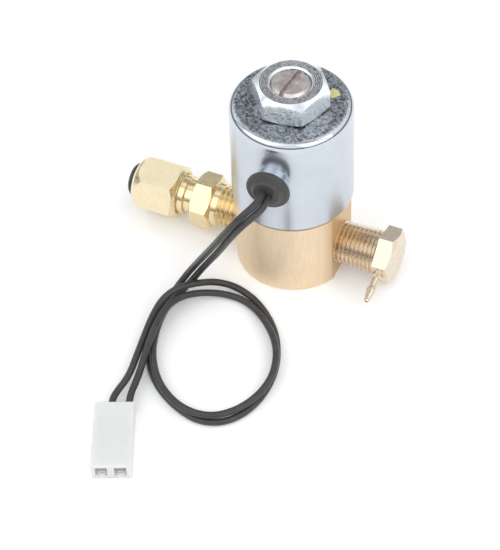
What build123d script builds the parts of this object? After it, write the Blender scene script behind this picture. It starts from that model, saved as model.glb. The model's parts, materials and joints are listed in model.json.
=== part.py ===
from build123d import *
import os
from math import cos, pi, radians, sin, tan

# Two-way solenoid valve, normally closed, with a threaded outlet nozzle, a compression inlet and
# two free leads that end in a two-way connector.
# Millimetres. +Z is the valve's upright axis, and the two ports lie along X: inlet at -X, outlet
# at +X. The origin is the centre of the body's round base, on the surface that it stands on.

os.makedirs("parts", exist_ok=True)

# ---- driving dimensions -------------------------------------------------------------------------
BODY_R = 18.3           # round brass body
BODY_H = 29.0
PORT_Z = 10.2           # height of the port axis
PORT_FLAT = 16.5        # the milled flats that the fittings screw into, from the axis
PORT_DEPTH = 10.5       # threaded depth of a port, from its flat
PIPE_THREAD_R = 6.86    # 1/4-18 pipe thread
PIPE_PITCH = 1.411
CAN_R = 19.05           # drawn steel coil can, 38.1 mm across
CAN_WALL = 1.0
CAN_TOP = 65.3
CAN_CORNER = 2.6
STUD_R = 6.35           # half-inch threaded stud of the fixed core
STUD_TOP = 73.2
NUT_AF = 21.0           # hex nut that holds the can down
NUT_H = 7.94
NUT_TURN = 8.2          # where its first corner points, degrees from +X
HEX_AF = 15.875         # 5/8 in hexes of the two fittings
HEX_TURN = 13.0         # how far their flats are turned from the upright
LEAD_ANGLE = 5.0        # the lead outlet points this far from -Y, towards +X
LEAD_Z = 49.9
WIRE_R = 1.1
TUBE_OD_R = 6.3         # enclosing tube of the plunger
TUBE_ID_R = 5.8
PLUNGER_R = 5.7
PLUNGER_LIFT = 1.6
SEAT_Z = 21.5
CORE_FACE_Z = 46.6      # bottom face of the fixed core
CONNECTOR_SIZE = (12.0, 24.2, 6.0)
CONNECTOR_TURN = 23.1   # its long axis from -Y, towards +X
CONNECTOR_REAR = (-23.2, -82.9)
SOCKET_AT = (-3.0, 2.7)    # mouths of its two ways, across its width
LEAD_AT = (-1.2, 4.0)      # where the two leads enter its rear

ports = Plane((0, 0, PORT_Z), x_dir=(0, 1, 0), z_dir=(1, 0, 0))     # looks out along +X, its y is Z
section = Plane.XZ                                                   # profiles turned about Z


def hex_points(across_flats, turn):
    """Corners of a hexagon whose first corner stands at the angle turn."""
    r = across_flats / 2 / cos(radians(30))
    return [(r * cos(radians(turn + 60 * i)), r * sin(radians(turn + 60 * i))) for i in range(6)]


def ring_thread(start, end, r, pitch, depth, taper=0.0):
    """Crest and root points of a thread between two stations along its axis."""
    count = int(abs(end - start) / pitch)
    step = (end - start) / count
    points = []
    for i in range(count):
        a = start + step * i
        crest = r - taper * abs(a - start)
        points += [(a + 0.10 * step, crest), (a + 0.45 * step, crest - depth)]
        points += [(a + 0.58 * step, crest - depth), (a + 0.93 * step, crest)]
    return points


# ---- brass body ---------------------------------------------------------------------------------
with BuildPart() as valve_body:
    Cylinder(BODY_R, BODY_H, align=(Align.CENTER, Align.CENTER, Align.MIN))
    chamfer(valve_body.edges().group_by(Axis.Z)[0], 0.5)
    # chamber around the seat, the flange recess above it and the nozzle of the seat
    with BuildSketch(section) as chamber:
        with BuildLine():
            Polyline((3.2, SEAT_Z), (4.2, 19.0), (9.0, 19.0), (9.0, 24.0), (11.2, 24.0),
                     (11.2, BODY_H), (0, BODY_H), (0, SEAT_Z), close=True)
        make_face()
    revolve(axis=Axis.Z, mode=Mode.SUBTRACT)
    # flats where the fittings enter
    for side in (1, -1):
        with BuildSketch(Plane.YZ.offset(side * PORT_FLAT)):
            Rectangle(4 * BODY_R, 4 * BODY_H)
        extrude(amount=side * 10, mode=Mode.SUBTRACT)
    # threaded ports and the passages behind them
    for side in (1, -1):
        with BuildSketch(ports.offset(side * (PORT_FLAT + 0.1))):
            Circle(PIPE_THREAD_R + 0.05)
        extrude(amount=-side * (PORT_DEPTH + 0.1), mode=Mode.SUBTRACT)
    with BuildSketch(ports):
        Circle(2.5)
    extrude(amount=PORT_FLAT, mode=Mode.SUBTRACT)
    with BuildSketch(Plane.XY.offset(PORT_Z)):
        Circle(1.3)
    extrude(amount=SEAT_Z, mode=Mode.SUBTRACT)
    # inlet passage: a short bore past the fitting's end, then up into the chamber
    with BuildSketch(ports.offset(-4.6)):
        Circle(3.0)
    extrude(amount=-3, mode=Mode.SUBTRACT)
    with BuildSketch(Plane.XY.offset(PORT_Z)):
        with Locations((-5.9, 0)):
            Circle(1.3)
    extrude(amount=10, mode=Mode.SUBTRACT)
    # groove of the flange seal
    with BuildSketch(section):
        with Locations((9.8, 23.6)):
            Rectangle(1.4, 0.9)
    revolve(axis=Axis.Z, mode=Mode.SUBTRACT)
valve_body.part.label = "valve_body"

with BuildPart() as flange_seal:
    with BuildSketch(section):
        with Locations((9.8, 23.6)):
            Rectangle(1.2, 0.78)
    revolve(axis=Axis.Z)
flange_seal.part.label = "flange_seal"

# ---- enclosing tube, its flange and the ring that holds it ------------------------------------------
with BuildPart() as enclosing_tube:
    with BuildSketch(section):
        with BuildLine():
            Polyline((TUBE_ID_R, 24.0), (11.0, 24.0), (11.0, 25.4), (TUBE_OD_R, 25.4),
                     (TUBE_OD_R, 61.0), (TUBE_ID_R, 61.0), close=True)
        make_face()
    revolve(axis=Axis.Z)
enclosing_tube.part.label = "enclosing_tube"

with BuildPart() as bonnet_ring:
    with BuildSketch(section):
        with BuildLine():
            Polyline((TUBE_OD_R + 0.1, 25.4), (11.1, 25.4), (11.1, BODY_H), (TUBE_OD_R + 0.1, BODY_H),
                     close=True)
        make_face()
    revolve(axis=Axis.Z)
    with BuildSketch(Plane.XY.offset(BODY_H)):
        with PolarLocations(8.8, 2):
            Circle(1.2)
    extrude(amount=-1.5, mode=Mode.SUBTRACT)
bonnet_ring.part.label = "bonnet_ring"

# ---- fixed core with its slotted stud, and the shading ring in its face --------------------------------
with BuildPart() as core_stud:
    with BuildSketch(section):
        with BuildLine():
            Polyline((0, CORE_FACE_Z), (3.4, CORE_FACE_Z), (3.4, 48.0), (4.5, 48.0), (4.5, CORE_FACE_Z),
                     (TUBE_ID_R, CORE_FACE_Z), (TUBE_ID_R, 61.0), (STUD_R, 61.0),
                     (STUD_R, STUD_TOP - 1.1), (STUD_R - 1.1, STUD_TOP), (0, STUD_TOP), close=True)
        make_face()
    revolve(axis=Axis.Z)
    with BuildSketch(Plane.XY.offset(STUD_TOP)):
        Rectangle(1.5, 4 * STUD_R, rotation=-7)
    extrude(amount=-1.8, mode=Mode.SUBTRACT)
core_stud.part.label = "core_stud"

with BuildPart() as shading_ring:
    with BuildSketch(section):
        with Locations((3.95, CORE_FACE_Z + 0.7)):
            Rectangle(1.0, 1.4)
    revolve(axis=Axis.Z)
shading_ring.part.label = "shading_ring"

# ---- plunger, its rubber seal and the return spring ------------------------------------------------
plunger_bottom = SEAT_Z + 0.6
with BuildPart() as plunger:
    with BuildSketch(section):
        with BuildLine():
            Polyline((0, plunger_bottom), (4.6, plunger_bottom), (PLUNGER_R, plunger_bottom + 1.1),
                     (PLUNGER_R, CORE_FACE_Z - PLUNGER_LIFT - 0.05),
                     (3.0, CORE_FACE_Z - PLUNGER_LIFT - 0.05), (3.0, 32.0), (0, 32.0), close=True)
        make_face()
    revolve(axis=Axis.Z)
    with BuildSketch(Plane.XY.offset(plunger_bottom)):
        Circle(3.3)
    extrude(amount=2.4, mode=Mode.SUBTRACT)
    # flow slots down the side
    with BuildSketch(Plane.XY.offset(plunger_bottom)):
        with PolarLocations(PLUNGER_R, 4):
            Rectangle(1.2, 1.6)
    extrude(amount=30, mode=Mode.SUBTRACT)
plunger.part.label = "plunger"

with BuildPart() as plunger_seal:
    with BuildSketch(Plane.XY.offset(SEAT_Z + 0.05)):
        Circle(3.3)
    extrude(amount=2.95)
plunger_seal.part.label = "plunger_seal"

SPRING_R = 2.4
SPRING_WIRE_R = 0.3
spring_bottom = 32.0 + SPRING_WIRE_R
spring_top = CORE_FACE_Z - SPRING_WIRE_R
with BuildPart() as plunger_spring:
    with BuildLine():
        coil_line = Helix((spring_top - spring_bottom) / 8, spring_top - spring_bottom, SPRING_R,
                          center=(0, 0, spring_bottom))
    with BuildSketch(Plane(coil_line @ 0, z_dir=coil_line % 0)):
        Circle(SPRING_WIRE_R)
    sweep(is_frenet=True)
plunger_spring.part.label = "plunger_spring"

# ---- coil: bobbin, winding, tape and the flux plate under it -----------------------------------------
BOBBIN_BOTTOM = 31.2
BOBBIN_TOP = 63.6
with BuildPart() as bobbin:
    with BuildSketch(section):
        with BuildLine():
            Polyline((6.6, BOBBIN_BOTTOM), (17.4, BOBBIN_BOTTOM), (17.4, BOBBIN_BOTTOM + 1.4),
                     (8.0, BOBBIN_BOTTOM + 1.4), (8.0, BOBBIN_TOP - 1.4), (17.4, BOBBIN_TOP - 1.4),
                     (17.4, BOBBIN_TOP), (6.6, BOBBIN_TOP), close=True)
        make_face()
    revolve(axis=Axis.Z)
bobbin.part.label = "bobbin"

with BuildPart() as winding:
    with BuildSketch(section):
        with Locations((11.3, (BOBBIN_BOTTOM + BOBBIN_TOP) / 2)):
            Rectangle(6.6, BOBBIN_TOP - BOBBIN_BOTTOM - 2.8)
    revolve(axis=Axis.Z)
winding.part.label = "winding"

with BuildPart() as winding_tape:
    with BuildSketch(section):
        with Locations((14.85, (BOBBIN_BOTTOM + BOBBIN_TOP) / 2)):
            Rectangle(0.5, BOBBIN_TOP - BOBBIN_BOTTOM - 2.8)
    revolve(axis=Axis.Z)
winding_tape.part.label = "winding_tape"

with BuildPart() as flux_plate:
    with BuildSketch(Plane.XY.offset(BODY_H)):
        Circle(CAN_R - CAN_WALL - 0.1)
        Circle(TUBE_OD_R + 0.1, mode=Mode.SUBTRACT)
    extrude(amount=2.0)
flux_plate.part.label = "flux_plate"

with BuildPart() as wave_washer:
    with BuildSketch(section):
        with Locations((11.5, 63.9)):
            Rectangle(5.0, 0.5)
    revolve(axis=Axis.Z)
wave_washer.part.label = "wave_washer"

# ---- coil can with the drawn collar of the lead outlet ------------------------------------------------
lead_out = Plane((0, 0, LEAD_Z), x_dir=(cos(radians(LEAD_ANGLE)), sin(radians(LEAD_ANGLE)), 0),
                 z_dir=(sin(radians(LEAD_ANGLE)), -cos(radians(LEAD_ANGLE)), 0))
COLLAR_END = 22.2       # from the valve axis
COLLAR_R = 5.3
COLLAR_BORE_R = 4.3
with BuildPart() as coil_can:
    with BuildSketch(Plane.XY.offset(BODY_H)):
        Circle(CAN_R)
    extrude(amount=CAN_TOP - BODY_H)
    fillet(coil_can.edges().group_by(Axis.Z)[-1], CAN_CORNER)
    with BuildSketch(lead_out.offset(15)):
        Circle(COLLAR_R)
    extrude(amount=COLLAR_END - 15)
    with BuildSketch(Plane.XY.offset(BODY_H)):
        Circle(CAN_R - CAN_WALL)
    extrude(amount=CAN_TOP - CAN_WALL - BODY_H, mode=Mode.SUBTRACT)
    with BuildSketch(Plane.XY.offset(CAN_TOP - 2)):
        Circle(STUD_R + 0.15)
    extrude(amount=4, mode=Mode.SUBTRACT)
    with BuildSketch(lead_out):
        Circle(COLLAR_BORE_R)
    extrude(amount=COLLAR_END + 1, mode=Mode.SUBTRACT)
coil_can.part.label = "coil_can"

with BuildPart() as top_nut:
    with BuildSketch(Plane.XY.offset(CAN_TOP)):
        Polygon(*hex_points(NUT_AF, NUT_TURN), align=None)
        Circle(STUD_R + 0.02, mode=Mode.SUBTRACT)
    extrude(amount=NUT_H)
    # both ends are turned to a cone, so the corners end below the faces
    with BuildSketch(section):
        with BuildLine():
            Polyline((9.5, CAN_TOP + NUT_H), (9.5 + 4, CAN_TOP + NUT_H - 4 * tan(radians(30))),
                     (9.5 + 4, CAN_TOP + NUT_H), close=True)
        make_face()
        with BuildLine():
            Polyline((10.2, CAN_TOP), (10.2 + 4, CAN_TOP + 4 * tan(radians(25))), (10.2 + 4, CAN_TOP),
                     close=True)
        make_face()
    revolve(axis=Axis.Z, mode=Mode.SUBTRACT)
    chamfer(top_nut.edges().filter_by(GeomType.CIRCLE).group_by(SortBy.RADIUS)[0].sort_by(Axis.Z)[-1],
            0.5)
top_nut.part.label = "top_nut"

# ---- rubber grommet in the collar, and the lead tails that run through it ------------------------------
GROMMET_FACE = 25.2
lead_axis = Axis((0, 0, LEAD_Z), (sin(radians(LEAD_ANGLE)), -cos(radians(LEAD_ANGLE)), 0))
lead_section = Plane((0, 0, LEAD_Z), x_dir=(sin(radians(LEAD_ANGLE)), -cos(radians(LEAD_ANGLE)), 0),
                     z_dir=(cos(radians(LEAD_ANGLE)), sin(radians(LEAD_ANGLE)), 0))
LEAD_OFFSETS = ((-0.95, 0.75), (0.95, -0.75))
with BuildPart() as grommet:
    with BuildSketch(lead_section):
        with BuildLine():
            Polyline((15.8, 0), (15.8, 4.8), (17.0, 4.8), (17.0, COLLAR_BORE_R), (COLLAR_END, COLLAR_BORE_R),
                     (COLLAR_END, 6.4), (COLLAR_END + 0.15, 6.7), (COLLAR_END + 0.5, 6.85),
                     (COLLAR_END + 1.1, 6.85), (COLLAR_END + 1.5, 6.65), (COLLAR_END + 1.8, 6.2),
                     (COLLAR_END + 2.0, 5.2), (GROMMET_FACE - 0.5, 4.5), (GROMMET_FACE - 0.1, 4.2),
                     (GROMMET_FACE, 3.8), (GROMMET_FACE, 0), close=True)
        make_face()
    revolve(axis=lead_axis)
    with BuildSketch(lead_out):
        with Locations(*LEAD_OFFSETS):
            Circle(WIRE_R)
    extrude(amount=GROMMET_FACE + 1, mode=Mode.SUBTRACT)
grommet.part.label = "grommet"

with BuildPart() as lead_tails:
    with BuildSketch(lead_out.offset(15.6)):
        with Locations(*LEAD_OFFSETS):
            Circle(WIRE_R)
    extrude(amount=GROMMET_FACE - 15.6)
lead_tails.part.label = "lead_tails"

# ---- outlet: hex-headed nozzle body and the nozzle in one of its flats ----------------------------------
fitting = Plane((0, 0, PORT_Z), x_dir=(1, 0, 0), z_dir=(0, -1, 0))   # x runs along the ports
port_axis = Axis((0, 0, PORT_Z), (1, 0, 0))
PORT_INNER = PORT_FLAT - PORT_DEPTH
OUT_HEX = (29.9, 35.5)
NOZZLE_X = 31.8
TAPER = 1 / 32
with BuildPart() as outlet_fitting:
    with BuildSketch(fitting):
        with BuildLine():
            Polyline((PORT_INNER + 0.5, 0), (PORT_INNER + 0.5, PIPE_THREAD_R - 0.6),
                     (PORT_INNER + 1.2, PIPE_THREAD_R), (PORT_FLAT, PIPE_THREAD_R),
                     *ring_thread(PORT_FLAT, OUT_HEX[0] - 0.4, PIPE_THREAD_R, PIPE_PITCH, 0.85, -TAPER),
                     (OUT_HEX[0], PIPE_THREAD_R - 0.4), (OUT_HEX[0], 0), close=True)
        make_face()
    revolve(axis=port_axis)
    with BuildSketch(ports.offset(OUT_HEX[0])):
        Polygon(*hex_points(HEX_AF, HEX_TURN + 30), align=None)
    extrude(amount=OUT_HEX[1] - OUT_HEX[0])
    with BuildSketch(fitting):
        with BuildLine():
            Polyline((OUT_HEX[1], 7.1), (OUT_HEX[1] - 4 * tan(radians(30)), 11.1), (OUT_HEX[1], 11.1),
                     close=True)
        make_face()
    revolve(axis=port_axis, mode=Mode.SUBTRACT)
    # waterway, blind at the head
    with BuildSketch(ports.offset(PORT_INNER)):
        Circle(2.2)
    extrude(amount=NOZZLE_X + 1.5 - PORT_INNER, mode=Mode.SUBTRACT)
    # bore of the nozzle
    nozzle_out = Plane((NOZZLE_X, 0, PORT_Z), x_dir=(1, 0, 0),
                       z_dir=(0, -cos(radians(HEX_TURN)), -sin(radians(HEX_TURN))))
    with BuildSketch(nozzle_out):
        Circle(1.25)
    extrude(amount=12, mode=Mode.SUBTRACT)
outlet_fitting.part.label = "outlet_fitting"

NOZZLE_TIP = 17.8       # from the port axis
nozzle_axis = Axis((NOZZLE_X, 0, PORT_Z), (0, -cos(radians(HEX_TURN)), -sin(radians(HEX_TURN))))
nozzle_section = Plane((NOZZLE_X, 0, PORT_Z), x_dir=(0, -cos(radians(HEX_TURN)), -sin(radians(HEX_TURN))),
                       z_dir=(1, 0, 0))
with BuildPart() as outlet_nozzle:
    with BuildSketch(nozzle_section):
        with BuildLine():
            Polyline((4.0, 0.45), (4.0, 1.2), (HEX_AF / 2, 1.2), (HEX_AF / 2, 1.8), (HEX_AF / 2 + 0.7, 1.8),
                     (HEX_AF / 2 + 1.0, 1.15), (NOZZLE_TIP - 5.6, 1.1), (NOZZLE_TIP - 4.3, 1.45),
                     (NOZZLE_TIP - 0.3, 0.85), (NOZZLE_TIP, 0.72), (NOZZLE_TIP, 0.45), close=True)
        make_face()
    revolve(axis=nozzle_axis)
outlet_nozzle.part.label = "outlet_nozzle"

with BuildPart() as metering_insert:
    with BuildSketch(ports.offset(PORT_INNER + 2)):
        Circle(2.2)
        Circle(0.6, mode=Mode.SUBTRACT)
    extrude(amount=3)
metering_insert.part.label = "metering_insert"

# ---- inlet: male connector, strainer, compression nut and tube sleeve ----------------------------------
IN_HEX = (-33.6, -26.5)
NUT_THREAD_R = 6.35     # 1/2-24 compression thread
NUT_THREAD_PITCH = 1.058
IN_THREAD_END = -46.0
SLEEVE_BORE_R = 3.2     # takes 1/4 in tube
with BuildPart() as inlet_connector:
    with BuildSketch(fitting):
        with BuildLine():
            Polyline((-PORT_INNER - 0.5, 0), (-PORT_INNER - 0.5, PIPE_THREAD_R - 0.6),
                     (-PORT_INNER - 1.2, PIPE_THREAD_R), (-PORT_FLAT, PIPE_THREAD_R),
                     *ring_thread(-PORT_FLAT, -24.6, PIPE_THREAD_R, PIPE_PITCH, 0.85, -TAPER),
                     (-24.8, PIPE_THREAD_R + 0.26), (IN_HEX[1], PIPE_THREAD_R + 0.33),
                     (IN_HEX[1], 7.0), (IN_HEX[0], 7.0), (IN_HEX[0], 5.6), (-36.3, 5.6), (-36.6, NUT_THREAD_R),
                     (IN_THREAD_END + 0.7, NUT_THREAD_R), (IN_THREAD_END, NUT_THREAD_R - 0.7),
                     (IN_THREAD_END, 0), close=True)
        make_face()
    revolve(axis=port_axis)
    with BuildSketch(ports.offset(IN_HEX[0])):
        Polygon(*hex_points(HEX_AF, HEX_TURN + 30), align=None)
    extrude(amount=IN_HEX[1] - IN_HEX[0])
    with BuildSketch(fitting):
        with BuildLine():
            Polyline((IN_HEX[1], 7.5), (IN_HEX[1] - 4 * tan(radians(30)), 11.5), (IN_HEX[1], 11.5),
                     close=True)
        make_face()
        with BuildLine():
            Polyline((IN_HEX[0], 7.5), (IN_HEX[0] + 4 * tan(radians(30)), 11.5), (IN_HEX[0], 11.5),
                     close=True)
        make_face()
    revolve(axis=port_axis, mode=Mode.SUBTRACT)
    # waterway, and the seat that the tube and its sleeve go into
    with BuildSketch(ports.offset(-PORT_INNER)):
        Circle(2.4)
    extrude(amount=-45, mode=Mode.SUBTRACT)
    with BuildSketch(fitting):
        with BuildLine():
            Polyline((IN_THREAD_END, 0), (IN_THREAD_END, 4.7), (IN_THREAD_END + 1.6, SLEEVE_BORE_R),
                     (IN_THREAD_END + 9, SLEEVE_BORE_R), (IN_THREAD_END + 9, 0), close=True)
        make_face()
    revolve(axis=port_axis, mode=Mode.SUBTRACT)
    # pocket of the strainer at the inner end
    with BuildSketch(ports.offset(-PORT_INNER)):
        Circle(4.0)
    extrude(amount=-6, mode=Mode.SUBTRACT)
inlet_connector.part.label = "inlet_connector"

with BuildPart() as inlet_strainer:
    with BuildSketch(fitting):
        with BuildLine():
            Polyline((-PORT_INNER - 6.0, 3.95), (-PORT_INNER - 5.2, 3.95), (-PORT_INNER - 5.2, 3.3),
                     (-PORT_INNER - 0.8, 2.5), (-PORT_INNER - 0.8, 0), (-PORT_INNER - 1.2, 0),
                     (-PORT_INNER - 1.2, 2.1), (-PORT_INNER - 6.0, 2.9), close=True)
        make_face()
    revolve(axis=port_axis)
inlet_strainer.part.label = "inlet_strainer"

IN_NUT = (-54.3, -38.7)
IN_NUT_AF = 16.7
with BuildPart() as inlet_nut:
    with BuildSketch(ports.offset(IN_NUT[0])):
        Polygon(*hex_points(IN_NUT_AF, HEX_TURN), align=None)
    extrude(amount=IN_NUT[1] - IN_NUT[0])
    with BuildSketch(fitting):
        with BuildLine():
            Polyline((IN_NUT[0], 7.0), (IN_NUT[0] + 0.9, 8.0), (IN_NUT[0] + 4.2, 9.9), (IN_NUT[0], 9.9),
                     close=True)
        make_face()
        with BuildLine():
            Polyline((IN_NUT[1], 7.4), (IN_NUT[1] - 0.7, 8.2), (IN_NUT[1] - 1.8, 9.9), (IN_NUT[1], 9.9),
                     close=True)
        make_face()
        with BuildLine():
            Polyline((IN_NUT[0], 0), (IN_NUT[0], 5.1), (IN_NUT[0] + 4.5, 5.1), (IN_NUT[0] + 7.6, NUT_THREAD_R + 0.05),
                     (IN_NUT[1] - 0.4, NUT_THREAD_R + 0.05), (IN_NUT[1], NUT_THREAD_R + 0.45), (IN_NUT[1], 0),
                     close=True)
        make_face()
    revolve(axis=port_axis, mode=Mode.SUBTRACT)
inlet_nut.part.label = "inlet_nut"

SLEEVE_END = -56.4
with BuildPart() as inlet_sleeve:
    with BuildSketch(fitting):
        with BuildLine():
            Polyline((SLEEVE_END, SLEEVE_BORE_R + 0.5), (SLEEVE_END + 0.4, SLEEVE_BORE_R),
                     (IN_THREAD_END - 0.2, SLEEVE_BORE_R), (IN_THREAD_END - 0.2, 4.3),
                     (-48.6, 5.0), (IN_NUT[0] - 0.05, 5.0), (IN_NUT[0] - 0.05, 5.4), (SLEEVE_END + 0.7, 5.4),
                     (SLEEVE_END, 4.8), close=True)
        make_face()
    revolve(axis=port_axis)
inlet_sleeve.part.label = "inlet_sleeve"

# ---- connector on the leads ----------------------------------------------------------------------------
width, length, height = CONNECTOR_SIZE
turn = radians(CONNECTOR_TURN)
connector_base = Plane((*CONNECTOR_REAR, 0), x_dir=(cos(turn), sin(turn), 0), z_dir=(0, 0, 1))
connector_rear = Plane((*CONNECTOR_REAR, height / 2), x_dir=(cos(turn), sin(turn), 0),
                       z_dir=(sin(turn), -cos(turn), 0))                 # looks along the connector
with BuildPart() as connector_housing:
    with BuildSketch(connector_base):
        with Locations((0, -length / 2)):
            Rectangle(width, length)
    extrude(amount=height)
    fillet(connector_housing.edges().filter_by(Axis.Z), 0.5)
    fillet(connector_housing.edges().group_by(Axis.Z)[-1], 0.4)
    for across in LEAD_AT:
        with BuildSketch(connector_rear):
            with Locations((across, 0)):
                Circle(WIRE_R + 0.1)
        extrude(amount=7.2, mode=Mode.SUBTRACT)
    for across in SOCKET_AT:
        with BuildSketch(connector_rear.offset(6)):
            with Locations((across, 0)):
                Rectangle(3.6, 3.6)
        extrude(amount=length, mode=Mode.SUBTRACT)
        # relief under each socket's mouth
        with BuildSketch(connector_rear.offset(length - 1.8)):
            with Locations((across, -height / 2 + 0.6)):
                Rectangle(2.2, 1.2)
        extrude(amount=3, mode=Mode.SUBTRACT)
connector_housing.part.label = "connector_housing"

contacts = []
for number in (1, 2):
    with BuildPart() as contact:
        with BuildSketch(connector_rear):
            with Locations((LEAD_AT[number - 1], 0)):
                Circle(WIRE_R)
        extrude(amount=7)
        with BuildSketch(connector_rear.offset(6.2)):
            with Locations((SOCKET_AT[number - 1], 0)):
                Rectangle(2.4, 2.2)
        extrude(amount=12)
        with BuildSketch(connector_rear.offset(11)):
            with Locations((SOCKET_AT[number - 1], 0)):
                Circle(0.75)
        extrude(amount=8, mode=Mode.SUBTRACT)
    contact.part.label = f"contact_{number}"
    contacts.append(contact)

# ---- the two leads: free cords from the grommet to the connector ----------------------------------------
grommet_face = lead_out.offset(GROMMET_FACE)
exits = [grommet_face.from_local_coords(Vector(*offset)) for offset in LEAD_OFFSETS]
entries = [connector_rear.from_local_coords(Vector(across, 0)) for across in LEAD_AT]

# the upper lead: down to the surface, one loop round to the left, over itself and to the connector
lead_1_points = [
    exits[0], exits[0] + lead_out.z_dir * 3.8, (0.1, -32.9, 49.8), (-2.7, -35.8, 46.9), (-7, -36, 39.6),
    (-12, -34, 30), (-17.8, -30.6, 19), (-22.3, -28, 10.4), (-25.4, -28.7, 4.8), (-27.3, -32.7, 1.5),
    (-28.1, -40, 1.1), (-27.3, -50, 1.1), (-23.6, -60.3, 1.1), (-16.3, -69.1, 1.1), (-7, -74.7, 1.1),
    (2.4, -77, 1.1), (10.6, -73, 1.1), (15.4, -63, 1.1), (15.5, -49.7, 1.1), (10.1, -36.7, 1.1),
    (0.8, -27.4, 1.1), (-8.8, -23.4, 1.5), (-15.6, -25.2, 3.4), (-20.2, -30.1, 5.9), (-24.8, -35, 6.8),
    (-27.6, -40, 5.6), (-28.1, -46, 4.3), (-27.3, -53, 3.9), (-25.9, -62, 3.7), (-24.7, -70.8, 3.1),
    (-25.6, -77.6, 3), entries[0] - connector_rear.z_dir * 2.6, entries[0]]
# the lower lead lies inside the first, mostly on top of it
lead_2_points = [
    exits[1], exits[1] + lead_out.z_dir * 4, (1.8, -33.2, 48.2), (-1.3, -35.8, 45), (-5.8, -34.8, 37),
    (-11, -32.4, 26.5), (-16.5, -29, 16), (-20.3, -27.2, 8.8), (-22.9, -29.1, 4.3), (-24.9, -33.5, 2.5),
    (-26.2, -40.7, 2.9), (-25.2, -50.3, 2.9), (-21.8, -60.4, 3.1), (-15.2, -69.6, 3.4), (-6, -75.5, 3.5),
    (3.2, -76, 3.4), (9.7, -71.8, 3.3), (14.6, -64.1, 3.5), (16.2, -53.7, 3.6), (12.6, -42.5, 3.6),
    (4.6, -33.5, 2.7), (-4, -27.7, 1.3), (-11.5, -27.3, 1.4), (-17.7, -30.8, 3.2), (-22.3, -36, 5.2),
    (-24.7, -41.7, 5.9), (-25.1, -47.7, 5.6), (-24.6, -54.3, 5.3), (-23.4, -61.6, 4.5), (-21.9, -69.7, 3.3),
    entries[1] - connector_rear.z_dir * 4.2, entries[1]]


def bend_radii(points):
    """One radius per corner: as large as its shorter run allows."""
    radii = []
    for a, b, c in zip(points, points[1:], points[2:]):
        before, after = Vector(b) - Vector(a), Vector(c) - Vector(b)
        half_turn = radians(before.get_angle(after) / 2)
        radii.append(min(80, 0.45 * min(before.length, after.length) / tan(half_turn)))
    return radii


leads = []
for number, points in enumerate((lead_1_points, lead_2_points), start=1):
    radii = bend_radii(points)
    with BuildPart() as lead:
        with BuildLine() as route:
            FilletPolyline(*points, radius=radii)
        with BuildSketch(Plane(route.line @ 0, z_dir=route.line % 0)):
            Circle(WIRE_R)
        sweep(transition=Transition.ROUND)
    lead.part.label = f"lead_{number}"
    leads.append(lead)
    run = sum(edge.length for edge in route.edges())
    print(lead.part.label, "length", round(run, 1), "smallest radius", round(min(radii), 1))
    print("  radii", [round(r, 1) for r in radii])
    print("  volume", round(lead.part.volume, 1), "section x length", round(pi * WIRE_R ** 2 * run, 1))

# ---- crimp sleeves that join the leads to the winding, beside the grommet inside the can -----------------
with BuildPart() as lead_splices:
    with BuildSketch(Plane.XY.offset(50)):
        for angle in (LEAD_ANGLE - 120, LEAD_ANGLE - 60):
            with Locations((16.6 * cos(radians(angle)), 16.6 * sin(radians(angle)))):
                Circle(1.3)
                Circle(0.7, mode=Mode.SUBTRACT)
    extrude(amount=8)
lead_splices.part.label = "lead_splices"

pieces = [valve_body, flange_seal, enclosing_tube, bonnet_ring, core_stud, shading_ring, plunger, plunger_seal,
          plunger_spring, bobbin, winding, winding_tape, lead_splices, flux_plate, wave_washer, coil_can,
          top_nut, grommet, lead_tails, outlet_fitting, outlet_nozzle, metering_insert, inlet_connector,
          inlet_strainer, inlet_nut, inlet_sleeve, connector_housing, *contacts, *leads]
for piece in pieces:
    export_step(piece.part, f"parts/{piece.part.label}.step")
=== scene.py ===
"""Looks of the solenoid valve: materials for its CAD parts, its leads, its spring and a studio."""
import json
import math

import bmesh
import bpy
from mathutils import Matrix, Vector, noise


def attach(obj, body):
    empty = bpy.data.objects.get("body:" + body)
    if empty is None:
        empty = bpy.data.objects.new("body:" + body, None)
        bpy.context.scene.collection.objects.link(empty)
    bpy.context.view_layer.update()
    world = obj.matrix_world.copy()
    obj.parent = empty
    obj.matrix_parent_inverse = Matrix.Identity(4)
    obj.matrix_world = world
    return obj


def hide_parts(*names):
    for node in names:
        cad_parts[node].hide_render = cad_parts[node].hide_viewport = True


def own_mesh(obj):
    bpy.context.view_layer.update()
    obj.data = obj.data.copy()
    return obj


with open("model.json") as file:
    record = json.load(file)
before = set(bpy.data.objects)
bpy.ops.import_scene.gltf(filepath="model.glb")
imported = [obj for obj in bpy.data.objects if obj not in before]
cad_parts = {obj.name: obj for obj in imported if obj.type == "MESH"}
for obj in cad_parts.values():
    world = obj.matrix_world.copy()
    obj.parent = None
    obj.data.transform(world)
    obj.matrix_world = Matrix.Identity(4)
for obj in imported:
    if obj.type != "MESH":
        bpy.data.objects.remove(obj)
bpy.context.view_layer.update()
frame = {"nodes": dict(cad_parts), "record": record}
nodes = frame["nodes"]
scene = bpy.context.scene

MM = 0.001
# Places on the part where its finish, its painted shade or its painted highlight changes, in mm. A pair is
# where the change starts and ends.
PORT_Z = 10.2                   # height of the axis of both ports
SEAM_Z = (27.3, 28.2)           # the body's top edge, under the can, where shade is painted
CORNER_Z = (61.5, 63.0)         # the start of the can's rounded top corner
TOP_Z = (64.9, 65.25)           # the end of that corner, at the flat top
THREAD_START = (16.3, 16.5)     # from the part's middle to where the pipe threads leave the body
THREAD_END = (27.5, 27.8)       # and to their outer ends
GROOVE_R = (5.9, 6.5)           # radius, from a pipe thread's grooves to just under its crests, where shade is painted
HIGHLIGHT_WAY = (0.928, -0.371, 0.0)       # the side of the top nut whose flats get a painted highlight

WAVE_LENGTH = 0.314             # spacing in metres of the Wave texture's rings at scale 1


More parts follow.
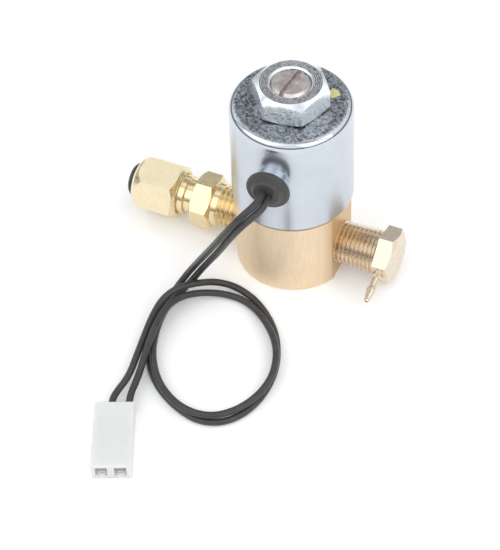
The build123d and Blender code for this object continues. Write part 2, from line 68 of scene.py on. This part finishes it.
# ---- shader helpers -----------------------------------------------------------------------------
class Nodes:
    """Short calls that add nodes to a node tree. Most of them return an output socket."""

    def __init__(self, tree, where):
        self.tree = tree
        coordinates = self.add("ShaderNodeTexCoord")
        self.where = coordinates.outputs[where]
        self.normal = coordinates.outputs["Normal"]

    def add(self, kind):
        return self.tree.nodes.new(kind)

    def link(self, source, target):
        self.tree.links.new(source, target)

    def feed(self, socket, value):
        """Set a socket to a number or a colour, or link another node's output to it."""
        if isinstance(value, (int, float)):
            socket.default_value = value
        elif isinstance(value, tuple):
            socket.default_value = (*value, 1.0)
        else:
            self.link(value, socket)

    def split(self):
        """The coordinates' X, Y and Z."""
        node = self.add("ShaderNodeSeparateXYZ")
        self.link(self.where, node.inputs["Vector"])
        return node.outputs

    def along(self, vector, direction):
        """How far a vector points in a direction: 1 when it points just that way."""
        node = self.add("ShaderNodeVectorMath")
        node.operation = "DOT_PRODUCT"
        node.inputs[1].default_value = Vector(direction).normalized()
        self.link(vector, node.inputs[0])
        return node.outputs["Value"]

    def math(self, operation, first, second=0.0):
        node = self.add("ShaderNodeMath")
        node.operation = operation
        for socket, value in zip(node.inputs, (first, second)):
            self.feed(socket, value)
        return node.outputs["Value"]

    def range(self, value, low, high, start=0.0, end=1.0, shape="LINEAR"):
        """The value's way from start to end, as a number from low to high."""
        node = self.add("ShaderNodeMapRange")
        node.interpolation_type = shape
        node.inputs["From Min"].default_value = start
        node.inputs["From Max"].default_value = end
        node.inputs["To Min"].default_value = low
        node.inputs["To Max"].default_value = high
        self.link(value, node.inputs["Value"])
        return node.outputs["Result"]

    def ramp(self, value, stops):
        """A colour ramp; stops are (position, colour) with a colour or a grey."""
        node = self.add("ShaderNodeValToRGB")
        elements = node.color_ramp.elements
        while len(elements) < len(stops):
            elements.new(0.5)
        for element, (position, colour) in zip(elements, stops):
            element.position = position
            if isinstance(colour, (int, float)):
                colour = (colour, colour, colour)
            element.color = (*colour, 1.0)
        self.link(value, node.inputs["Fac"])
        return node.outputs["Color"]

    def mix(self, factor, first, second, blend="MIX"):
        """A colour between two colours."""
        node = self.add("ShaderNodeMix")
        node.data_type = "RGBA"
        node.blend_type = blend
        sockets = {(socket.name, socket.type): socket for socket in node.inputs}
        self.feed(sockets["Factor", "VALUE"], factor)
        self.feed(sockets["A", "RGBA"], first)
        self.feed(sockets["B", "RGBA"], second)
        return next(socket for socket in node.outputs if socket.type == "RGBA")


class Shader(Nodes):
    """A node material."""

    def __init__(self, name):
        self.material = bpy.data.materials.new(name)
        self.material.use_nodes = True
        super().__init__(self.material.node_tree, "Object")
        self.bsdf = self.tree.nodes["Principled BSDF"]

    def set(self, **values):
        for key, value in values.items():
            self.bsdf.inputs[key.replace("_", " ")].default_value = value

    def stretched(self, scale):
        """Object coordinates, stretched by scale along X, Y and Z."""
        mapping = self.add("ShaderNodeMapping")
        mapping.inputs["Scale"].default_value = scale
        self.link(self.where, mapping.inputs["Vector"])
        return mapping.outputs["Vector"]

    def noise(self, size_mm, detail=3.0, roughness=0.55, vector=None, distortion=0.0):
        """Noise whose features are about size_mm across."""
        node = self.add("ShaderNodeTexNoise")
        node.inputs["Scale"].default_value = 1.0 / (size_mm * MM)
        node.inputs["Detail"].default_value = detail
        node.inputs["Roughness"].default_value = roughness
        node.inputs["Distortion"].default_value = distortion
        self.link(vector or self.where, node.inputs["Vector"])
        return node.outputs["Fac"]

    def rings(self, pitch_mm):
        """Lathe marks around the part's Z axis."""
        wave = self.add("ShaderNodeTexWave")
        wave.wave_type = "RINGS"
        wave.rings_direction = "Z"
        wave.inputs["Scale"].default_value = WAVE_LENGTH / (pitch_mm * MM)
        wave.inputs["Distortion"].default_value = 0.5
        self.link(self.where, wave.inputs["Vector"])
        return wave.outputs["Fac"]

    def spread(self, noise, low, high):
        """From low to high over the middle of a noise, where most of its values are."""
        return self.range(noise, low, high, 0.3, 0.7)

    def fade(self, value, span, low=0.0, high=1.0):
        """From low to high over a span in mm."""
        return self.range(value, low, high, span[0] * MM, span[1] * MM)

    def blend(self, factor, first, second):
        """A value between two values."""
        node = self.add("ShaderNodeMix")
        for socket, value in zip(node.inputs[:1] + node.inputs[2:4], (factor, first, second)):
            self.link(value, socket)
        return node.outputs[0]

    def facing(self, direction):
        """How squarely the surface faces a direction of the part's own frame."""
        return self.along(self.normal, direction)

    def port_radius(self):
        """Distance from the port axis."""
        at = self.split()
        up = self.math("SUBTRACT", at["Z"], PORT_Z * MM)
        return self.math("SQRT", self.math("ADD", self.math("MULTIPLY", at["Y"], at["Y"]),
                                           self.math("MULTIPLY", up, up)))

    def bump(self, height, depth_mm, strength=1.0, after=None, amount=None):
        """Relief depth_mm deep, on top of another normal, and only as far as amount says."""
        node = self.add("ShaderNodeBump")
        node.inputs["Distance"].default_value = depth_mm * MM
        node.inputs["Strength"].default_value = strength
        if amount is not None:
            self.link(self.range(amount, 0.0, strength), node.inputs["Strength"])
        self.link(height, node.inputs["Height"])
        if after is not None:
            self.link(after, node.inputs["Normal"])
        return node.outputs["Normal"]

    def edges(self, radius_mm):
        """Shading that rounds the part's sharp edges."""
        node = self.add("ShaderNodeBevel")
        node.samples = 6
        node.inputs["Radius"].default_value = radius_mm * MM
        return node.outputs["Normal"]

    def finish(self, colour=None, roughness=None, normal=None):
        for source, socket in ((colour, "Base Color"), (roughness, "Roughness"), (normal, "Normal")):
            if source is not None:
                self.link(source, self.bsdf.inputs[socket])
        return self.material


# ---- materials ----------------------------------------------------------------------------------
def plated_can():
    """Bright zinc plating: satin and smooth down the side, strongly mottled on the flat top."""
    m = Shader("bright plating")
    m.set(Metallic=1.0)
    zinc = (0.61, 0.655, 0.715)
    top = m.fade(m.split()["Z"], TOP_Z)
    flakes = m.noise(1.0, detail=5.0, roughness=0.78, distortion=0.6)
    fine = m.noise(0.45, detail=3.0, roughness=0.7)
    clouds = m.noise(7.0, detail=3.0)
    spots = m.ramp(flakes, [(0.38, 0.16), (0.46, 0.38), (0.53, 0.70), (0.62, 1.0)])
    spots = m.mix(1.0, spots, m.ramp(fine, [(0.38, 0.62), (0.58, 1.0)]), "MULTIPLY")
    plain = m.ramp(clouds, [(0.3, 0.93), (0.7, 1.0)])
    colour = m.mix(1.0, zinc, m.mix(top, plain, spots), "MULTIPLY")
    side_rough = m.range(m.fade(m.split()["Z"], CORNER_Z), 0.29, 0.09)
    top_rough = m.range(flakes, 0.16, 0.40, 0.35, 0.62)
    roughness = m.blend(top, side_rough, top_rough)
    normal = m.bump(flakes, 0.12, 0.8, after=m.edges(0.15), amount=top)
    normal = m.bump(m.noise(9.0, detail=2.0), 0.10, 0.10, after=normal)
    return m.finish(colour, roughness, normal)


def plated_nut():
    """The same plating on the nut, mottled on its flats, with a painted highlight on its chamfer and on one
    side's flats.
    """
    m = Shader("nut plating")
    m.set(Metallic=0.7)
    zinc = (0.90, 0.95, 0.985)
    highlight_white = (1.0, 1.0, 1.0)
    flakes = m.noise(0.8, detail=5.0, roughness=0.78, distortion=0.5)
    # painted highlight: the flats facing one side and the chamfer get plain pale plating, without the dark
    # mottling
    smooth = m.range(m.facing(HIGHLIGHT_WAY), 0.0, 1.0, 0.70, 0.90)
    spots = m.ramp(flakes, [(0.38, 0.22), (0.47, 0.60), (0.56, 1.0)])
    turned = m.rings(0.62)
    upward = m.facing((0.0, 0.0, 1.0))
    flat = m.range(upward, 0.0, 1.0, 0.93, 0.99)
    chamfer = m.math("SUBTRACT", m.range(upward, 0.0, 1.0, 0.3, 0.7), flat)
    smooth = m.math("MAXIMUM", smooth, chamfer)
    # painted highlight where highlit, mottled spots elsewhere
    colour = m.mix(1.0, zinc, m.mix(smooth, spots, highlight_white), "MULTIPLY")
    lathe_marks = m.ramp(turned, [(0.25, 0.35), (0.6, 1.0)])
    colour = m.mix(flat, colour, m.mix(1.0, colour, lathe_marks, "MULTIPLY"))
    roughness = m.range(flakes, 0.34, 0.15, 0.35, 0.62)
    mottled = m.range(smooth, 1.0, 0.0)
    normal = m.bump(flakes, 0.02, 0.5, after=m.edges(0.18), amount=mottled)
    normal = m.bump(turned, 0.05, 0.5, after=normal, amount=flat)
    return m.finish(colour, roughness, normal)


def brass(name, light, deep, rough, streak, streak_mm=0.35, grain=0.35):
    """Machined brass with fine tool streaks, a slight stain and painted shade in its pipe thread's grooves.
    """
    m = Shader(name)
    m.set(Metallic=1.0)
    groove_shade = (0.78, 0.65, 0.48)
    lines = m.noise(streak_mm, detail=3.0, vector=m.stretched(streak))
    stain = m.noise(6.0, detail=4.0, roughness=0.6)
    colour = m.mix(m.spread(lines, 0.0, 1.0), deep, light)
    colour = m.mix(1.0, colour, m.ramp(stain, [(0.3, 0.92), (0.7, 1.0)]), "MULTIPLY")
    out = m.math("ABSOLUTE", m.split()["X"])
    threaded = m.math("MULTIPLY", m.fade(out, THREAD_START), m.fade(out, THREAD_END, 1.0, 0.0))
    groove = m.math("MULTIPLY", threaded, m.fade(m.port_radius(), GROOVE_R, 1.0, 0.0))
    # painted shade: a darker brown in the pipe thread's grooves
    colour = m.mix(groove, colour, m.mix(1.0, colour, groove_shade, "MULTIPLY"))
    roughness = m.spread(lines, rough - 0.06, rough + 0.08)
    return m.finish(colour, roughness, m.bump(lines, 0.02, grain, after=m.edges(0.06)))


def body_brass():
    """Fine-turned satin body, pale down the side, with painted shade: golden on the milled flats, dark in
    the seam.
    """
    m = Shader("satin body brass")
    m.set(Metallic=0.6)
    deep, light = (0.86, 0.68, 0.47), (0.93, 0.76, 0.55)
    flat_shade, seam_shade = (0.72, 0.50, 0.26), (0.16, 0.10, 0.06)
    lines = m.noise(0.7, detail=3.0, vector=m.stretched((1.0, 1.0, 0.10)))
    stain = m.noise(7.0, detail=4.0, roughness=0.6)
    colour = m.mix(m.spread(lines, 0.0, 1.0), deep, light)
    colour = m.mix(1.0, colour, m.ramp(stain, [(0.3, 0.95), (0.7, 1.0)]), "MULTIPLY")
    # painted shade: a darker golden tone on the sideways-facing milled flats
    sideways = m.math("ABSOLUTE", m.facing((1.0, 0.0, 0.0)))
    flat = m.range(sideways, 0.0, 1.0, 0.80, 0.96)
    colour = m.mix(flat, colour, flat_shade)
    # painted shade: dark in the seam under the can's overhanging edge
    colour = m.mix(m.fade(m.split()["Z"], SEAM_Z), colour, seam_shade)
    roughness = m.blend(flat, m.spread(lines, 0.50, 0.62), m.spread(lines, 0.28, 0.36))
    return m.finish(colour, roughness, m.bump(lines, 0.02, 0.25, after=m.edges(0.15)))


def metal(name, tint, rough, rings_mm=None, dull=0.72):
    """Machined metal with a stain; rings_mm is the pitch of the lathe marks on its face."""
    m = Shader(name)
    m.set(Metallic=1.0)
    grain = m.noise(0.4, detail=4.0, roughness=0.7)
    stain = m.noise(2.4, detail=3.0)
    colour = m.mix(m.range(stain, 0.0, 1.0, 0.35, 0.65), tuple(dull * c for c in tint), tint)
    normal = m.bump(grain, 0.03, 0.4, after=m.edges(0.15))
    if rings_mm:
        normal = m.bump(m.rings(rings_mm), 0.02, 0.3, after=normal)
    return m.finish(colour, m.spread(grain, rough - 0.07, rough + 0.1), normal)


def polymer(name, tint, rough, speck_mm=0.5, depth_mm=0.02, dust=0.15, subsurface=0.0):
    """Moulded plastic or rubber with a fine texture and a little handling dust."""
    m = Shader(name)
    grain = m.noise(speck_mm, detail=3.0, roughness=0.6)
    dusting = m.noise(4.5, detail=5.0, roughness=0.65)
    pale = tuple(c + 0.06 for c in tint)
    colour = m.mix(m.range(dusting, 0.0, dust, 0.45, 0.75), tint, pale)
    m.set(Subsurface_Weight=subsurface, Subsurface_Scale=0.003, Subsurface_Radius=(1.0, 1.0, 1.0))
    return m.finish(colour, m.spread(grain, rough - 0.06, rough + 0.08),
                    m.bump(grain, depth_mm, 0.5))


def yellow_paint():
    m = Shader("dab paint")
    colour = m.mix(m.range(m.noise(0.8), 0.0, 1.0, 0.35, 0.65), (0.58, 0.54, 0.20), (0.76, 0.72, 0.34))
    roughness = m.range(m.noise(0.5), 0.30, 0.5)
    return m.finish(colour, roughness, m.bump(m.noise(0.6), 0.03, 0.5))


def floor_paint():
    m = Shader("floor paint")
    m.set(Roughness=0.9, Specular_IOR_Level=0.1, Emission_Strength=0.12, Emission_Color=(1.0, 1.0, 1.0, 1.0))
    return m.finish(m.ramp(m.noise(40.0), [(0.3, 0.95), (0.7, 0.97)]))


materials = {
    "can_plating": plated_can(),
    "nut_plating": plated_nut(),
    "body_brass": body_brass(),
    "fitting_brass": brass("turned fitting brass", (0.93, 0.80, 0.53), (0.86, 0.70, 0.42), 0.24,
                           streak=(1.0, 0.12, 0.12)),
    "outlet_brass": brass("dull outlet brass", (0.86, 0.76, 0.62), (0.78, 0.66, 0.51), 0.24,
                          streak=(1.0, 0.3, 0.3)),
    "nut_brass": brass("hatched nut brass", (0.94, 0.84, 0.60), (0.88, 0.74, 0.48), 0.28,
                       streak=(0.16, 1.0, 1.0), streak_mm=0.5, grain=0.5),
    "core_steel": metal("machined core steel", (0.80, 0.72, 0.70), 0.40, rings_mm=0.5, dull=0.6),
    "stainless": metal("stainless steel", (0.66, 0.66, 0.67), 0.30),
    "copper": metal("copper", (0.72, 0.40, 0.26), 0.30),
    "contact_tin": metal("tinned contact", (0.88, 0.88, 0.86), 0.45),
    "bobbin_nylon": polymer("bobbin nylon", (0.62, 0.58, 0.46), 0.5),
    "coil_tape": polymer("coil tape", (0.60, 0.42, 0.10), 0.3),
    "seal_rubber": polymer("seal rubber", (0.03, 0.03, 0.03), 0.55),
    "black_rubber": polymer("grommet rubber", (0.050, 0.049, 0.049), 0.42, dust=0.25),
    "lead_jacket": polymer("lead jacket", (0.040, 0.040, 0.041), 0.33, speck_mm=0.8, dust=0.30),
    "black_nylon": polymer("sleeve nylon", (0.022, 0.022, 0.022), 0.20),
    "white_nylon": polymer("connector nylon", (0.76, 0.76, 0.75), 0.36, depth_mm=0.01, dust=0.3,
                           subsurface=0.4),
}

for part in frame["record"]["subparts"]:
    node = nodes[part["node"]]
    node.data.materials.clear()
    node.data.materials.append(materials[part["material_slot"]])


# ---- camera: from above, at the front and to its right --------------------------------------------
CAMERA_AT = (0.1979, -0.4456, 0.5343)               # metres
CAMERA_DEGREES = (25.66, 48.27, -2.43)              # azimuth, elevation and roll
CAMERA_LENS = 161.8                                 # mm, on a sensor 36 mm wide


def place_camera():
    azimuth, elevation, roll = (math.radians(angle) for angle in CAMERA_DEGREES)
    forward = Vector((-math.sin(azimuth) * math.cos(elevation), math.cos(azimuth) * math.cos(elevation),
                      -math.sin(elevation)))
    right = Vector((math.cos(azimuth), math.sin(azimuth), 0.0))
    up = right.cross(forward)
    across = right * math.cos(roll) + up * math.sin(roll)
    upward = -right * math.sin(roll) + up * math.cos(roll)
    data = bpy.data.cameras.new("camera")
    data.sensor_fit = "HORIZONTAL"
    data.sensor_width = 36.0
    data.lens = CAMERA_LENS
    data.clip_start = 0.01
    data.clip_end = 50.0
    camera = bpy.data.objects.new("camera", data)
    camera.matrix_world = Matrix.Translation(CAMERA_AT) @ Matrix(
        (across, upward, -forward)).transposed().to_4x4()
    scene.collection.objects.link(camera)
    scene.camera = camera


place_camera()

# ---- the two leads, from the grommet to the connector, in mm --------------------------------------
WIRE_R = 1.1
OUT = Vector((0.0872, -0.9962, 0.0))            # the way the grommet points
ALONG = Vector((0.3923, -0.9198, 0.0))          # the connector's long axis, away from the leads
EXIT_1 = Vector((1.254, -25.187, 50.65))
EXIT_2 = Vector((3.143, -25.022, 49.15))
ENTRY_1 = Vector((-24.304, -83.371, 3.0))
ENTRY_2 = Vector((-19.521, -81.331, 3.0))
LEAD_1 = [
    EXIT_1, EXIT_1 + OUT * 3.8, (0.1, -32.9, 49.8), (-2.7, -35.8, 46.9), (-7, -36, 39.6),
    (-12, -34, 30), (-17.8, -30.6, 19), (-22.3, -28, 10.4), (-25.4, -28.7, 4.8), (-27.3, -32.7, 1.5),
    (-28.1, -40, 1.1), (-27.3, -50, 1.1), (-23.6, -60.3, 1.1), (-16.3, -69.1, 1.1), (-7, -74.7, 1.1),
    (2.4, -77, 1.1), (10.6, -73, 1.1), (15.4, -63, 1.1), (15.5, -49.7, 1.1), (10.1, -36.7, 1.1),
    (0.8, -27.4, 1.1), (-8.8, -23.4, 1.5), (-15.6, -25.2, 3.4), (-20.2, -30.1, 5.9), (-24.8, -35, 6.8),
    (-27.6, -40, 5.6), (-28.1, -46, 4.3), (-27.3, -53, 3.9), (-25.9, -62, 3.7), (-24.7, -70.8, 3.1),
    (-25.6, -77.6, 3), ENTRY_1 - ALONG * 2.6, ENTRY_1]
LEAD_2 = [
    EXIT_2, EXIT_2 + OUT * 4, (1.8, -33.2, 48.2), (-1.3, -35.8, 45), (-5.8, -34.8, 37),
    (-11, -32.4, 26.5), (-16.5, -29, 16), (-20.3, -27.2, 8.8), (-22.9, -29.1, 4.3), (-24.9, -33.5, 2.5),
    (-26.2, -40.7, 2.9), (-25.2, -50.3, 2.9), (-21.8, -60.4, 3.1), (-15.2, -69.6, 3.4), (-6, -75.5, 3.5),
    (3.2, -76, 3.4), (9.7, -71.8, 3.3), (14.6, -64.1, 3.5), (16.2, -53.7, 3.6), (12.6, -42.5, 3.6),
    (4.6, -33.5, 2.7), (-4, -27.7, 1.3), (-11.5, -27.3, 1.4), (-17.7, -30.8, 3.2), (-22.3, -36, 5.2),
    (-24.7, -41.7, 5.9), (-25.1, -47.7, 5.6), (-24.6, -54.3, 5.3), (-23.4, -61.6, 4.5), (-21.9, -69.7, 3.3),
    ENTRY_2 - ALONG * 4.2, ENTRY_2]


def lead(name, points):
    curve = bpy.data.curves.new(name, "CURVE")
    curve.dimensions = "3D"
    curve.bevel_depth = WIRE_R * MM
    curve.bevel_resolution = 6
    curve.resolution_u = 14
    spline = curve.splines.new("NURBS")
    spline.points.add(len(points) - 1)
    for point, at in zip(spline.points, points):
        point.co = (*(Vector(at) * MM), 1.0)
    spline.order_u = 3
    spline.use_endpoint_u = True
    piece = bpy.data.objects.new(name, curve)
    scene.collection.objects.link(piece)
    curve.materials.append(materials["lead_jacket"])
    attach(piece, "valve")
    return piece


first_lead = lead("first_lead", LEAD_1)
second_lead = lead("second_lead", LEAD_2)
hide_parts("lead_1")
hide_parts("lead_2")


def return_spring():
    """The spring's own mesh, as a piece that rides with the valve; its top is where the core is."""
    piece = bpy.data.objects.new("return_spring", nodes["plunger_spring"].data.copy())
    scene.collection.objects.link(piece)
    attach(piece, "valve")
    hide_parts("plunger_spring")
    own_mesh(piece)


return_spring()


# ---- inspection dab of paint on the can's flat top ------------------------------------------------
def paint_dab():
    """A flat drop with an uneven outline: rings of points around its crown. Sizes are in mm."""
    centre = Vector((10.4, 8.1, 65.3)) * MM
    thickness, radius = 0.16, 1.75
    outline, ripple = 0.85, 0.05                # how far the outline and the surface wander
    rings, spokes = 5, 28
    shape = bmesh.new()
    crown = shape.verts.new(centre + Vector((0, 0, thickness * MM)))
    previous = None
    for ring in range(1, rings + 1):
        share = ring / rings
        loop = []
        for spoke in range(spokes):
            angle = 2 * math.pi * spoke / spokes
            way = Vector((math.cos(angle), math.sin(angle), 0.0))
            reach = radius + outline * noise.noise(way * 1.3 + Vector((4.0, 0.0, 1.0)))
            height = thickness * (1.0 - share ** 4)
            height += ripple * noise.noise(way * share * 3.0) * (1.0 - share)
            loop.append(shape.verts.new(centre + way * reach * share * MM + Vector((0, 0, height * MM))))
        for here, there in zip(range(spokes), list(range(1, spokes)) + [0]):
            if previous is None:
                shape.faces.new((crown, loop[here], loop[there]))
            else:
                shape.faces.new((previous[here], loop[here], loop[there], previous[there]))
        previous = loop
    for face in shape.faces:
        face.smooth = True
    mesh = bpy.data.meshes.new("paint_dab")
    shape.to_mesh(mesh)
    shape.free()
    mesh.materials.append(yellow_paint())
    piece = bpy.data.objects.new("paint_dab", mesh)
    scene.collection.objects.link(piece)
    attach(piece, "valve")


paint_dab()

# ---- floor, world and lights, in metres -----------------------------------------------------------
FLOOR_HALF = 2.5
DARK_WAY = (-0.288, 0.60, 0.746)                # where the room's dark patch is
STRIP_LEAN = 0.10                               # the dark strip's slope from overhead to the front
HORIZON = [(0.0, 0.85), (0.50, 0.60), (0.505, 0.08), (0.56, 0.10), (0.64, 0.48), (0.72, 0.95), (1.0, 1.0)]


def floor():
    mesh = bpy.data.meshes.new("floor")
    corners = [(-FLOOR_HALF, -FLOOR_HALF, 0), (FLOOR_HALF, -FLOOR_HALF, 0),
               (FLOOR_HALF, FLOOR_HALF, 0), (-FLOOR_HALF, FLOOR_HALF, 0)]
    mesh.from_pydata(corners, [], [(0, 1, 2, 3)])
    mesh.materials.append(floor_paint())
    piece = bpy.data.objects.new("floor", mesh)
    scene.collection.objects.link(piece)


def room():
    """A pale room with a dark skirting, a dark patch above and behind the part, and a dark strip over it."""
    world = bpy.data.worlds.new("studio")
    world.use_nodes = True
    scene.world = world
    sky = Nodes(world.node_tree, "Generated")
    patch = sky.range(sky.along(sky.where, DARK_WAY), 1.0, 0.26, 0.925, 0.985, shape="SMOOTHSTEP")
    way = sky.split()
    lean = sky.math("ADD", sky.math("DIVIDE", way["Y"], way["Z"]), STRIP_LEAN)
    strip = sky.range(sky.math("ABSOLUTE", lean), 0.18, 1.0, 0.04, 0.11, shape="SMOOTHSTEP")
    rise = sky.range(way["Z"], 0.0, 1.0, -1.0, 1.0)
    walls = sky.ramp(rise, [(place, (grey * 0.97, grey * 0.985, grey)) for place, grey in HORIZON])
    background = world.node_tree.nodes["Background"]
    sky.link(sky.mix(1.0, walls, sky.math("MULTIPLY", patch, strip), "MULTIPLY"), background.inputs["Color"])
    background.inputs["Strength"].default_value = 1.22


def area_light(name, place, size, power):
    """A softbox that points at the middle of the part."""
    data = bpy.data.lights.new(name, "AREA")
    data.shape = "RECTANGLE"
    data.size, data.size_y = size
    data.energy = power
    light = bpy.data.objects.new(name, data)
    light.location = place
    light.rotation_euler = (Vector((0, 0, 0.03)) - Vector(place)).to_track_quat("-Z", "Y").to_euler()
    scene.collection.objects.link(light)


floor()
room()
area_light("key", (-0.70, -0.85, 1.15), (1.5, 1.3), 3.2)
area_light("fill", (0.95, -0.35, 0.75), (1.1, 1.1), 3.0)
scene.view_settings.view_transform = "Standard"
